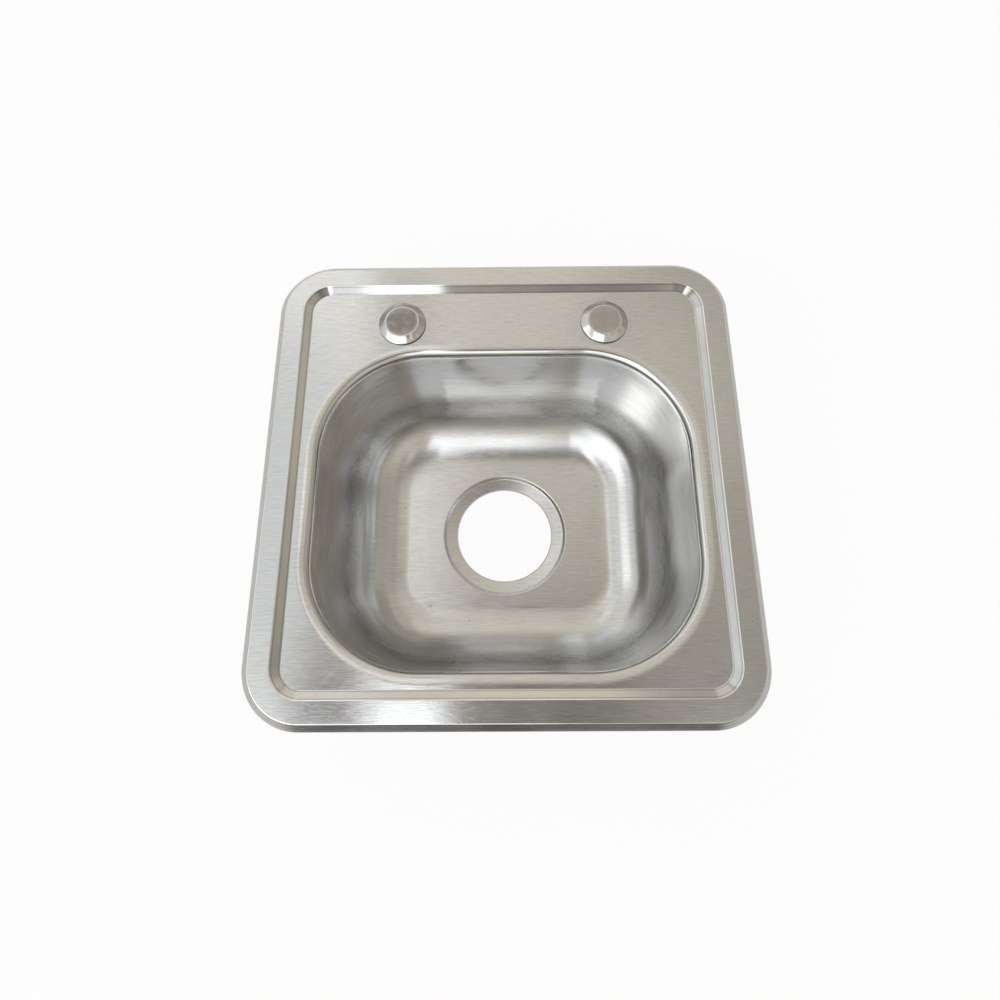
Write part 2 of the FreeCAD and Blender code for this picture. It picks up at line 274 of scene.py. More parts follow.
# Stainless sheet: deck and bowl share the way it is made, each with its own values
sheetMix = {
    "tone": {"Fine": 0.30, "Streaks": 0.50, "Mottle": 0.20},
    "rough": {"Streaks": 0.35, "Smudges": 0.65, "Scratches": 0.2},
    "height": {"Fine": 1.0, "Streaks": 1.6, "Scratches": -0.12},
    "marks": {"Lines": 0.4, "Patches": 0.6}, "drawnHeight": {"Lines": 0.4, "Patches": 1.2},
    "grainTurn": 0.25, "pit": (0.2, 0.19, 0.18), "pitShare": 0.8, "pitDepth": 6.0,
}
deckSteel = {
    "dark": (0.58, 0.577, 0.567), "bright": (0.685, 0.685, 0.68),
    "grain": {"Length": 0.009, "Width": 0.00060, "Broad": 1.8}, "used": {"Pit Spacing": 0.02},
    "rough": (0.09, 0.16), "grainDepth": 0.000026, "anisotropy": 0.93,
    # Bends are smoother; a bright band painted along the rim's top bend is a painted highlight
    "polished": {"slope": (0.99, 0.95), "dark": (0.585, 0.58, 0.56), "bright": (0.635, 0.63, 0.615),
                 "rough": (0.10, 0.15), "marks": {"Length": 0.03, "Width": 0.002, "Patch Size": 0.012},
                 "edge": (0.88, 0.885, 0.90), "highlightAt": (0.00636, 0.00657), "highlightSoft": 0.00004,
                 # Dark bands painted at two heights, below the rim's top bend and at the step's foot, are
                 # painted shade
                 "highlightShare": 0.7, "hollow": (0.40, 0.39, 0.37), "hollowSoft": 0.0001, "hollowShare": 0.75,
                 "hollowAt": [(0.00585, 0.00622), (0.00378, 0.00412)]},
}
bowlSteel = {
    "dark": (0.565, 0.562, 0.55), "bright": (0.67, 0.668, 0.66),
    "grain": {"Length": 0.011, "Width": 0.00055, "Broad": 2.0}, "used": {"Pit Spacing": 0.016},
    "rough": (0.15, 0.25), "grainDepth": 0.000026, "anisotropy": 0.8,
    "wall": {"dark": (0.44, 0.44, 0.435), "bright": (0.54, 0.54, 0.535), "rough": (0.10, 0.18),
             "filletRough": 0.14, "marks": {"Length": 0.035, "Width": 0.0011, "Patch Size": 0.010},
             # A brighter stretch of the back wall, placed by position, is a painted reflection
             "at": (-0.106, -0.078), "clear": -0.055, "paintedReflectionX": (-0.043, 0.097), "paintedReflectionSoft": 0.003,
             "paintedReflectionY": (0.04, 0.06), "paintedReflectionLow": (-0.094, -0.080), "paintedReflectionHigh": (-0.062, -0.015),
             "ragged": 0.020, "paintedReflectionDark": (0.62, 0.62, 0.615), "paintedReflectionBright": (0.88, 0.88, 0.88)},
}


def polishBendsPaintLight(tree, solid, sheet, bend):
    # The press tool rubs the grain away where the sheet is bent, so slopes are smoother than flats
    facing = addNode(tree, "NewGeometry").outputs["True Normal"]
    facing = addNode(tree, "VectorTransform", {0: facing}, vector_type="NORMAL",
                     convert_from="WORLD", convert_to="OBJECT").outputs[0]
    mask = ramped(tree, computed(tree, "ABSOLUTE", partsOf(tree, facing)[2]), *bend["slope"])
    patches = groupNode(tree, drawnGroup, solid, bend["marks"])["Patches"]
    blotch = toned(tree, linear(tree, patches, *spans["patch"]), bend["dark"], bend["bright"])
    colour = toned(tree, mask, sheet["colour"], blotch)
    up = partsOf(tree, solid)[2]
    # Painted highlight: a bright band painted along the rim's top bend, set by height
    paintedHighlight = product(tree, between(tree, up, *bend["highlightAt"], bend["highlightSoft"]), bend["highlightShare"])
    colour = toned(tree, paintedHighlight, colour, bend["edge"])
    # Painted shade: dark bands painted at two heights, below the rim's top bend and at the step's foot
    for low, high in bend["hollowAt"]:
        hollow = product(tree, between(tree, up, low, high, bend["hollowSoft"]), bend["hollowShare"])
        colour = toned(tree, hollow, colour, bend["hollow"])
    smooth = linear(tree, patches, *spans["patch"], *bend["rough"])
    sheet.update(colour=colour, rough=blended(tree, mask, sheet["rough"], smooth),
                 height=blended(tree, mask, sheet["height"], patches))


def drawWallsPaintReflection(tree, solid, sheet, wall):
    # Drawing smoothed the grain away on the walls and left marks that run round the bowl
    parts = partsOf(tree, solid)
    mask = ramped(tree, parts[2], *wall["at"])
    drawn = groupNode(tree, drawnGroup, solid, wall["marks"])
    marks = linear(tree, averaged(tree, sheetMix["marks"], drawn), *spans["tone"])
    # Painted reflection: one stretch of the back wall is painted brighter, with a ragged edge
    ragged = computed(tree, "ADD", parts[0], product(tree, drawn["Patches"], wall["ragged"]))
    paintedReflection = product(tree, between(tree, ragged, *wall["paintedReflectionX"], wall["paintedReflectionSoft"]),
                     ramped(tree, parts[1], *wall["paintedReflectionY"]))
    paintedReflection = product(tree, paintedReflection, ramped(tree, parts[2], *wall["paintedReflectionLow"]))
    paintedReflection = product(tree, paintedReflection, ramped(tree, parts[2], *wall["paintedReflectionHigh"], 1.0, 0.0))
    colour = toned(tree, paintedReflection, toned(tree, marks, wall["dark"], wall["bright"]),
                   toned(tree, marks, wall["paintedReflectionDark"], wall["paintedReflectionBright"]))
    rough = computed(tree, "ADD", linear(tree, drawn["Patches"], *spans["patch"], *wall["rough"]),
                     ramped(tree, parts[2], wall["at"][1], wall["clear"], wall["filletRough"], 0.0))
    about = addNode(tree, "Tangent", direction_type="RADIAL", axis="Z").outputs[0]
    about = addNode(tree, "Mix", {0: mask, 4: sheet["along"], 5: about},
                    data_type="VECTOR").outputs[1]
    raised = averaged(tree, sheetMix["drawnHeight"], drawn)
    sheet.update(colour=toned(tree, mask, sheet["colour"], colour), along=about,
                 rough=blended(tree, mask, sheet["rough"], rough),
                 height=blended(tree, mask, sheet["height"], raised))


def makeSheetSteel(name, look):
    mix = sheetMix
    material, tree, shader = newMaterial(name, {"Metallic": 1.0, "Anisotropic": look["anisotropy"],
                                                "Anisotropic Rotation": mix["grainTurn"]})
    place = addNode(tree, "UVMap", uv_map="sheet").outputs[0]
    solid = objectPlace(tree)
    grain = groupNode(tree, grainGroup, place, look["grain"])
    used = groupNode(tree, useGroup, place, look["used"])
    tone = linear(tree, averaged(tree, mix["tone"], grain), *spans["tone"])
    rough = averaged(tree, mix["rough"], grain, used)
    sheet = {
        "colour": toned(tree, tone, look["dark"], look["bright"]),
        "rough": linear(tree, rough, *spans["rough"], *look["rough"]),
        "height": averaged(tree, mix["height"], grain, used),
        "along": addNode(tree, "Tangent", direction_type="UV_MAP", uv_map="sheet").outputs[0],
    }
    if "polished" in look:
        polishBendsPaintLight(tree, solid, sheet, look["polished"])
    if "wall" in look:
        drawWallsPaintReflection(tree, solid, sheet, look["wall"])
    colour = toned(tree, product(tree, used["Pits"], mix["pitShare"]), sheet["colour"], mix["pit"])
    height = computed(tree, "SUBTRACT", sheet["height"], product(tree, used["Pits"], mix["pitDepth"]))
    tree.links.new(sheet["along"], shader.inputs["Tangent"])
    dress(tree, shader, colour, sheet["rough"], height, look["grainDepth"])
    return material


# Polished covers: a mirror with fingerprints, hairlines and a faint warm haze, and painted shade along the
# low side edge just over the deck
coverChrome = {
    "dark": (0.615, 0.60, 0.58), "bright": (0.645, 0.63, 0.615), "rough": (0.05, 0.11),
    "used": {"Scratch Length": 0.008, "Scratch Width": 0.00012, "Smudge Size": 0.007,
             "Pit Spacing": 0.004},
    "haze": (0.4, 0.62), "roughMix": {"Haze": 0.8, "Scratches": 0.5}, "depth": 0.000008,
    # A dark band painted on the cover's low side edge, just over the deck, is painted shade
    "heightMix": {"Smudges": 1.0, "Scratches": -0.2}, "gapShade": (0.22, 0.20, 0.18),
    "gapShadeAt": (0.0044, 0.0050),
}


def makeCoverChrome(look):
    material, tree, shader = newMaterial("coverChrome", {"Metallic": 1.0})
    place = objectPlace(tree)
    used = groupNode(tree, useGroup, place, look["used"])
    haze = ramped(tree, used["Smudges"], *look["haze"])
    # Painted shade: the cover's low side edge, just over the deck, is painted dark
    unshaded = ramped(tree, partsOf(tree, place)[2], *look["gapShadeAt"])
    colour = toned(tree, unshaded, look["gapShade"], toned(tree, haze, look["bright"], look["dark"]))
    rough = averaged(tree, look["roughMix"], {"Haze": haze}, used)
    dress(tree, shader, colour, linear(tree, rough, 0.0, 1.0, *look["rough"]),
          averaged(tree, look["heightMix"], used), look["depth"])
    return material


# Zinc plated and rolled steel fittings: soft blotches, rolling marks and rubbed spots
fittingMix = {
    "tone": {"Streaks": 0.4, "Smudges": 0.6, "Scratches": 0.15},
    "height": {"Fine": 1.0, "Mottle": 1.0, "Pits": -2.0},
    "used": {"Scratch Length": 0.006, "Scratch Width": 0.0001, "Pit Spacing": 0.003}, "broad": 3.0,
}
fittings = {
    "platedSteel": {"dark": (0.47, 0.49, 0.52), "bright": (0.68, 0.69, 0.70), "rough": (0.5, 0.28),
                    "grain": (0.006, 0.0006), "blotch": 0.004, "depth": 0.00002},
    "screwSteel": {"dark": (0.50, 0.52, 0.54), "bright": (0.72, 0.73, 0.74), "rough": (0.42, 0.22),
                   "grain": (0.002, 0.0004), "blotch": 0.003, "depth": 0.00001},
    "bracketSteel": {"dark": (0.44, 0.44, 0.43), "bright": (0.62, 0.62, 0.60), "rough": (0.5, 0.3),
                     "grain": (0.02, 0.0005), "blotch": 0.008, "depth": 0.00002},
    "castZinc": {"dark": (0.44, 0.44, 0.46), "bright": (0.60, 0.60, 0.61), "rough": (0.6, 0.38),
                 "grain": (0.0012, 0.0009), "blotch": 0.003, "depth": 0.00006},
}


def makeFitting(name, look):
    material, tree, shader = newMaterial(name, {"Metallic": 1.0})
    place, mix = objectPlace(tree), fittingMix
    length, width = look["grain"]
    grain = groupNode(tree, grainGroup, place, {"Length": length, "Width": width, "Broad": mix["broad"]})
    used = groupNode(tree, useGroup, place, {"Smudge Size": look["blotch"], **mix["used"]})
    tone = linear(tree, averaged(tree, mix["tone"], grain, used), *spans["patch"])
    dress(tree, shader, toned(tree, tone, look["dark"], look["bright"]),
          linear(tree, used["Smudges"], *spans["rough"], *look["rough"]),
          averaged(tree, mix["height"], grain, used), look["depth"])
    return material


# Foam, damping pad and rubber
softMix = {
    "tone": {"Pores": -0.35, "Tooth": 0.5, "Smudges": 0.8}, "toneSpan": (0.1, 0.8),
    "height": {"Pores": -1.0, "Tooth": 0.4}, "used": {"Smudge Size": 0.02, "Pit Spacing": 0.006},
}
softLooks = {
    "gasketFoam": {"dark": (0.035, 0.036, 0.038), "bright": (0.09, 0.09, 0.092), "rough": (0.75, 0.95),
                   "pore": 0.0009, "depth": 0.0003},
    "dampingPad": {"dark": (0.10, 0.10, 0.102), "bright": (0.17, 0.17, 0.172), "rough": (0.6, 0.85),
                   "pore": 0.0016, "depth": 0.0004},
    "sealRubber": {"dark": (0.025, 0.025, 0.026), "bright": (0.05, 0.05, 0.05), "rough": (0.45, 0.65),
                   "pore": 0.0006, "depth": 0.00004},
}


def makeSoftLook(name, look):
    material, tree, shader = newMaterial(name, {"Metallic": 0.0})
    place, mix = objectPlace(tree), softMix
    pored = groupNode(tree, poreGroup, place, {"Pore Size": look["pore"]})
    used = groupNode(tree, useGroup, place, mix["used"])
    tone = linear(tree, averaged(tree, mix["tone"], pored, used), *mix["toneSpan"])
    dress(tree, shader, toned(tree, tone, look["dark"], look["bright"]),
          linear(tree, pored["Tooth"], *spans["rough"], *look["rough"]),
          averaged(tree, mix["height"], pored), look["depth"])
    return material


looks = {
    "deckSteel": makeSheetSteel("deckSteel", deckSteel),
    "bowlSteel": makeSheetSteel("bowlSteel", bowlSteel),
    "coverChrome": makeCoverChrome(coverChrome),
}
for name, look in fittings.items():
    looks[name] = makeFitting(name, look)
for name, look in softLooks.items():
    looks[name] = makeSoftLook(name, look)
print("stage: materials made")


# Mesh tools. A shell is a list of points in millimetres, its faces, and each point's place on the flat sheet.
def newShell():
    return {"points": [], "faces": [], "places": []}


def addRow(shell, points, places=None):
    first = len(shell["points"])
    shell["points"] += [tuple(point) for point in points]
    shell["places"] += places if places else [(point[0], point[1]) for point in points]
    return list(range(first, first + len(points)))


def addQuad(shell, x, y, height):
    return addRow(shell, [(-x, -y, height), (x, -y, height), (x, y, height), (-x, y, height)])


def bridge(shell, first, second):
    for index in range(len(first)):
        after = (index + 1) % len(first)
        shell["faces"].append((first[index], first[after], second[after], second[index]))


def bentPath(points, radii, steps=8):
    # A path of flat points whose inner corners are rounded; a radius of nothing keeps a corner sharp
    path = [Vector(points[0])]
    for before, corner, after, radius in zip(points, points[1:], points[2:], radii):
        corner = Vector(corner)
        if radius == 0:
            path.append(corner)
            continue
        back = (Vector(before) - corner).normalized()
        ahead = (Vector(after) - corner).normalized()
        half = back.angle(ahead) / 2
        middle = corner + (back + ahead).normalized() * (radius / math.sin(half))
        start = corner + back * (radius / math.tan(half)) - middle
        end = corner + ahead * (radius / math.tan(half)) - middle
        sweep = math.atan2(start.x * end.y - start.y * end.x, start.dot(end))
        for step in range(steps + 1):
            path.append(middle + Matrix.Rotation(sweep * step / steps, 2) @ start)
    path.append(Vector(points[-1]))
    return path


def divided(path, longest):
    # Extra points where a run is long
    full = [path[0]]
    for start, end in zip(path, path[1:]):
        parts = max(1, math.ceil((end - start).length / longest))
        full += [start.lerp(end, part / parts) for part in range(1, parts + 1)]
    return full


def roundedPath(halfX, halfY, corner, cornerSteps=28, gap=5.0):
    # The way round a rounded rectangle: the centre that each point belongs to, and its outward normal
    path = []
    centres = [(halfX - corner, halfY - corner), (corner - halfX, halfY - corner),
               (corner - halfX, corner - halfY), (halfX - corner, corner - halfY)]
    for quarter, centre in enumerate(centres):
        for step in range(cornerSteps + 1):
            angle = (quarter + step / cornerSteps) * math.pi / 2
            path.append((Vector(centre), Vector((math.cos(angle), math.sin(angle)))))
        following = Vector(centres[(quarter + 1) % 4])
        parts = math.ceil((following - Vector(centre)).length / gap)
        for part in range(1, parts):
            path.append((Vector(centre).lerp(following, part / parts), path[-1][1]))
    return path


def sweepProfile(shell, path, corner, profile, middleY=0.0, flatFrom=None):
    # Rows of points round the path, one for each (inset, height) of the profile
    rows = []
    reach = [0.0]
    for start, end in zip(profile, profile[1:]):
        reach.append(reach[-1] + (end - start).length)
    base = reach[-1] if flatFrom is None else reach[flatFrom]
    baseInset = profile[-1].x if flatFrom is None else profile[flatFrom].x
    for (inset, height), run in zip(profile, reach):
        points, places = [], []
        for centre, normal in path:
            spot = centre + normal * (corner - inset)
            flat = centre + normal * (corner - baseInset + base - run)
            points.append((spot.x, spot.y + middleY, height))
            places.append((flat.x, flat.y + middleY))
        rows.append(addRow(shell, points, places))
        if len(rows) > 1:
            bridge(shell, rows[-2], rows[-1])
    return rows


def turnsOf(count):
    return [2 * math.pi * step / count for step in range(count)]


def ringOf(radius, height, turns, x=0.0, y=0.0):
    return [(x + radius * math.cos(turn), y + radius * math.sin(turn), height) for turn in turns]


def lathe(shell, profile, segments=96):
    # A profile of (radius, height) turned round the upright axis; a radius of nothing is a single point
    rows = []
    for radius, height in profile:
        row = addRow(shell, ringOf(radius, height, turnsOf(segments) if radius else [0.0]))
        if rows and (len(row) == 1 or len(rows[-1]) == 1):
            tip, rim = (row, rows[-1]) if len(row) == 1 else (rows[-1], row)
            for index in range(len(rim)):
                shell["faces"].append((tip[0], rim[index], rim[(index + 1) % len(rim)]))
        elif rows:
            bridge(shell, rows[-1], row)
        rows.append(row)


# Section of a thread's ridge: how far its root is sunk, and its root and crest in shares of the pitch
ridgeForm = {"sunk": 0.1, "root": 0.48, "crest": 0.07}


def threadRidge(shell, radius, depth, pitch, low, high, steps=20):
    # The ridge of a screw thread, wound up a rod and fading out at both ends
    core = radius - depth
    count = int(((high - low) / pitch - 1) * steps)
    rows = []
    for step in range(count + 1):
        turn = 2 * math.pi * step / steps
        middle = low + pitch / 2 + pitch * step / steps
        crest = core + depth * min(1.0, step / steps, (count - step) / steps)
        foot, wide, narrow = core - ridgeForm["sunk"], ridgeForm["root"], ridgeForm["crest"]
        section = [(foot, -wide), (crest, -narrow), (crest, narrow), (foot, wide)]
        rows.append(addRow(shell, [(out * math.cos(turn), out * math.sin(turn), middle + up * pitch)
                                   for out, up in section]))
        if step:
            bridge(shell, rows[-2], rows[-1])
    shell["faces"] += [tuple(rows[0]), tuple(rows[-1][::-1])]


def finishMesh(name, shell, creaseAngle=None, faceUp=False):
    mesh = bpy.data.meshes.new(name)
    mesh.from_pydata([Vector(point) * mm for point in shell["points"]], [], shell["faces"])
    work = bmesh.new()
    work.from_mesh(mesh)
    bmesh.ops.recalc_face_normals(work, faces=work.faces)
    if faceUp and sum(face.normal.z * face.calc_area() for face in work.faces) < 0:
        bmesh.ops.reverse_faces(work, faces=work.faces)
    work.to_mesh(mesh)
    work.free()
    layer = mesh.uv_layers.new(name="sheet")
    for loop in mesh.loops:
        layer.data[loop.index].uv = Vector(shell["places"][loop.vertex_index]) * mm
    mesh.shade_smooth()
    if creaseAngle:
        mesh.set_sharp_from_angle(angle=math.radians(creaseAngle))
    mesh.validate()
    return mesh


def addPiece(name, mesh, look, body, nodes):
    piece = addObject(name, mesh)
    if not mesh.materials:
        mesh.materials.append(looks[look])
    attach(piece, body)
    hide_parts(*nodes)
    return piece


def addPressing(name, shell, look, node, edge):
    # A single surface that gets its sheet thickness away from its face, and eased cut edges
    mesh = finishMesh(name, shell, faceUp=True)
    piece = addPiece(name, mesh, look, "sink", [node])
    solid = piece.modifiers.new("sheet", "SOLIDIFY")
    solid.thickness = sink["sheet"] * mm
    solid.offset = -1.0
    solid.use_even_offset = True
    easeEdges(piece, edge, angle=55, steps=2)


def easeEdges(piece, width, angle, steps):
    bevel = piece.modifiers.new("easedEdges", "BEVEL")
    bevel.width = width * mm
    bevel.segments = steps
    bevel.limit_method = "ANGLE"
    bevel.angle_limit = math.radians(angle)
    bevel.miter_outer = "MITER_ARC"
    weigh = piece.modifiers.new("flatFaces", "WEIGHTED_NORMAL")
    weigh.keep_sharp = True


# Deck: lip, rim, step and roll of the bowl's mouth, with the flat between them filled in
deckForm = {
    "lipLift": 0.4, "lipEdge": 1.2, "lipWidth": 5.5, "lipBend": 1.2, "rimBend": 1.2,
    "rimFlat": 15.7, "stepBend": 1.6, "mouthEase": 4.0, "mouthDip": 11.0, "dipBend": 26.0, "mouthBend": 5.6,
    "dipAt": 7.6, "waveHeight": 0.10, "waveSize": 55.0, "waveSeed": 3.0, "gridGap": 7.0, "clear": 1.2,
    "cutEdge": 0.02, "seamGap": 0.005, "longest": 4.0, "tapSteps": 64, "merge": 1e-5,
}


def insideRounded(x, y, halfX, halfY, corner):
    apartX = max(abs(x) - (halfX - corner), 0)
    apartY = max(abs(y) - (halfY - corner), 0)
    if apartX and apartY:
        return math.hypot(apartX, apartY) < corner
    return abs(x) < halfX and abs(y) < halfY


def onFlat(x, y, margin):
    inset = sink["stepInner"] + sink["landing"] + margin
    grow = sink["mouthRoll"] + deckForm["mouthEase"] + margin
    if not insideRounded(x, y, sink["halfX"] - inset, sink["halfY"] - inset, sink["corner"] - inset):
        return False
    if insideRounded(x, y - sink["bowlMiddle"], sink["mouthHalfX"] + grow, sink["mouthHalfY"] + grow,
                     sink["mouthCorner"] + grow):
        return False
    return all(math.hypot(x - side * sink["tapX"], y - sink["tapY"]) > sink["tapHole"] + margin
               for side in (-1, 1))


def makeDeck(form):
    shell, level, roof = newShell(), sink["deckHeight"], sink["rimHeight"]
    rim = bentPath([(0, form["lipLift"]), (0, form["lipLift"] + form["lipEdge"]), (form["lipWidth"], roof),
                    (form["lipWidth"] + form["rimFlat"], roof), (sink["stepInner"], level),
                    (sink["stepInner"] + sink["landing"], level)],
                   [form["lipBend"], form["rimBend"], form["stepBend"], form["stepBend"]])
    outer = sweepProfile(shell, roundedPath(sink["halfX"], sink["halfY"], sink["corner"]),
                         sink["corner"], divided(rim, form["longest"]))
    drop = form["dipAt"] * math.tan(math.radians(form["mouthDip"]))
    mouth = bentPath([(-sink["mouthRoll"] - form["mouthEase"], level), (-form["dipAt"], level),
                      (0, level - drop), (0, sink["seamLevel"] + form["seamGap"])],
                     [form["dipBend"], form["mouthBend"]], steps=12)
    inner = sweepProfile(shell, roundedPath(sink["mouthHalfX"], sink["mouthHalfY"], sink["mouthCorner"]),
                         sink["mouthCorner"], mouth, sink["bowlMiddle"], flatFrom=0)
    rings = [outer[-1], inner[0]]
    for side in (-1, 1):
        rings.append(addRow(shell, ringOf(sink["tapHole"], level, turnsOf(form["tapSteps"]),
                                          side * sink["tapX"], sink["tapY"])))
    fillFlat(shell, rings, form)
    addPressing("deckPressing", shell, "deckSteel", "deck", form["cutEdge"])


def fillFlat(shell, rings, form):
    # Triangles over the flat, with points between its edges that follow the sheet's slight waves
    spots, owners, edges = [], [], []
    for ring in rings:
        first = len(spots)
        spots += [Vector(shell["points"][index][:2]) for index in ring]
        owners += ring
        edges += [(first + step, first + (step + 1) % len(ring)) for step in range(len(ring))]
    gap = form["gridGap"]
    rowsUp = int(sink["halfY"] / gap)
    for row in range(-rowsUp, rowsUp + 1):
        for column in range(-rowsUp, rowsUp + 1):
            x, y = (column + (row % 2) / 2) * gap, row * gap
            if onFlat(x, y, form["clear"]):
                spots.append(Vector((x, y)))
                owners.append(None)
    found, _, faces, origins, _, _ = delaunay_2d_cdt(spots, edges, [], 0, form["merge"])
    names = []
    for spot, origin in zip(found, origins):
        owner = owners[origin[0]]
        if owner is None:
            lift = form["waveHeight"] * noise.noise(Vector((*spot / form["waveSize"], form["waveSeed"])))
            owner = addRow(shell, [(spot.x, spot.y, sink["deckHeight"] + lift)])[0]
        names.append(owner)
    for face in faces:
        x = sum(found[index].x for index in face) / 3
        y = sum(found[index].y for index in face) / 3
        if onFlat(x, y, 0.0):
            shell["faces"].append(tuple(names[index] for index in face))


makeDeck(deckForm)
print("stage: deck pressed")

# Bowl: tapering walls, large fillets, a flat floor with slight waves, and the recessed drain seat
bowlForm = {
    "wallLead": 1.0, "wallLean": 14.0, "fillet": 48.0,
    "recessRadius": 58.5, "recessSlope": 2.5, "recessBend": 1.2, "drainRadius": 45.0,
    "seatFall": 1.7, "seatLip": 1.0, "seatStart": 1.0, "seatRound": 2.0,
    "seamGap": 0.005, "waveHeight": 0.11, "waveSize": 42.0, "waveRise": 0.8, "waveSeed": 7.0,
    "floorRows": 9, "cutEdge": 0.02, "wallRun": 4.5, "seatRun": 4.0, "stillRows": 4,
}


def makeBowl(form):
    shell, level, seam, middle = newShell(), sink["floorLevel"], sink["seamLevel"], sink["bowlMiddle"]
    lean = math.atan2(form["wallLean"], seam - form["wallLead"] - level)
    floorInset = form["wallLean"] + form["fillet"] * math.tan((math.pi / 2 - lean) / 2)
    wall = bentPath([(0, seam - form["seamGap"]), (0, seam - form["wallLead"]), (form["wallLean"], level),
                     (floorInset, level)], [0, form["fillet"]], steps=26)
    path = roundedPath(sink["mouthHalfX"], sink["mouthHalfY"], sink["mouthCorner"])
    rows = sweepProfile(shell, path, sink["mouthCorner"], divided(wall, form["wallRun"]), middle)
    for row in rows[form["stillRows"]:]:
        for index, (centre, normal) in zip(row, path):
            x, y, z = shell["points"][index]
            spot = Vector((x, y, z * form["waveRise"]))
            push = form["waveHeight"] * noise.noise(spot / form["waveSize"])
            shell["points"][index] = (x + normal.x * push, y + normal.y * push, z)
    outside, inside, bottom = form["recessRadius"], form["drainRadius"], level - sink["recessDepth"]
    seat = bentPath([(outside + form["recessBend"] + form["seatStart"], level), (outside, level),
                     (outside - form["recessSlope"], bottom + form["seatFall"]),
                     (inside + form["seatLip"], bottom), (inside, bottom)],
                    [form["recessBend"], form["recessBend"], form["seatRound"]])
    edge = [Vector(shell["points"][index]) for index in rows[-1]]
    turns = [math.atan2(point.y - middle, point.x) for point in edge]
    goals = ringOf(seat[0].x, level, turns, y=middle)
    floorRows = []
    for step in range(1, form["floorRows"]):
        share = step / form["floorRows"]
        points = [point.lerp(Vector(goal), share) for point, goal in zip(edge, goals)]
        for spot in points:
            swell = noise.noise(Vector((*spot.xy / form["waveSize"], form["waveSeed"])))
            spot.z += form["waveHeight"] * swell * (1 - share)
        floorRows.append(points)
    last = rows[-1]
    for points in floorRows + [ringOf(*place, turns, y=middle) for place in divided(seat, form["seatRun"])]:
        row = addRow(shell, points)
        bridge(shell, last, row)
        last = row
    addPressing("drawnBowl", shell, "bowlSteel", "bowl", form["cutEdge"])


makeBowl(bowlForm)
print("stage: bowl drawn")

# Tap hole covers: polished, with a sloping edge, a skirt, and the stud below
coverForm = {
    "top": 7.86, "crown": 0.03, "faceRadius": 14.25, "faceEdge": 0.6, "radius": 19.75, "edge": 1.0,
    "edgeRound": 0.6, "skirt": 0.9, "skirtRound": 0.15, "lift": 0.3, "seat": 1.5, "studRadius": 3.0,
    "studLength": 34.0, "threadDepth": 0.55, "pitch": 1.0, "plainNeck": 3.0, "tip": 0.5, "ridgeStart": 0.3,
    "crownAt": 0.5, "crownDrop": 0.25, "shoulder": 1.4, "shoulderDrop": 0.8,
}


def makeCovers(form):
    low, seat = sink["deckHeight"] + form["lift"], sink["deckHeight"] + form["seat"]
    stud, tip, neck = form["studRadius"], form["tip"], seat - form["plainNeck"]
    core, end, inner = stud - form["threadDepth"], seat - form["studLength"], form["radius"] - form["skirt"]
    top, crown, face = form["top"], form["crown"], form["faceRadius"]
    outline = bentPath([(0, top), (face * form["crownAt"], top - crown * form["crownDrop"]),
                        (face - form["shoulder"], top - crown * form["shoulderDrop"]), (face, top - crown),
                        (form["radius"], low + form["edge"]), (form["radius"], low), (inner, low),
                        (inner, seat), (stud, seat), (stud, neck), (core, neck - tip), (core, end + tip),
                        (core - tip, end), (0, end)],
                       [0, 0, form["faceEdge"], form["edgeRound"]] + [form["skirtRound"]] * 2 + [0] * 6,
                       steps=5)
    shell = newShell()
    lathe(shell, outline)
    threadRidge(shell, stud, form["threadDepth"], form["pitch"], end + form["ridgeStart"], neck)
    mesh = finishMesh("tapCover", shell, creaseAngle=40)
    for name, side in (("left", -1), ("right", 1)):
        piece = addPiece("tapCover." + name, mesh, "coverChrome", "sink", ["cap_" + name])
        piece.location = Vector((side * sink["tapX"], sink["tapY"], 0)) * mm


makeCovers(coverForm)
print("stage: covers turned")

# Clip screws: threaded shank, chamfered six-sided head and a screwdriver slot from below
screwForm = {
    "tip": -22.24, "headTop": -60.0, "headHeight": 3.5, "headRadius": 4.6, "radius": 2.5,
    "threadDepth": 0.45, "pitch": 0.8, "slotWidth": 1.2, "slotDepth": 1.6, "chamfer": 0.4,
    "chamferShare": 0.9, "slotOver": 1.2, "slotBelow": 1.0, "tipChamfer": 0.4, "neckFrom": 1.5,
    "neckTo": 1.2, "sunk": 0.5, "ridgeFrom": 1.0, "ridgeTo": 0.1,
}
# Each clip's side, in quarter turns from the right, and which way it stands along that side
clipPlaces = {
    "right_front": (0, -1), "right_back": (0, 1), "back_right": (1, -1), "back_left": (1, 1),
    "left_back": (2, -1), "left_front": (2, 1), "front_left": (3, -1), "front_right": (3, 1),
}
clipReach = 166.0                                     # from the middle of the sink to each screw's axis
clipAlong = 118.0


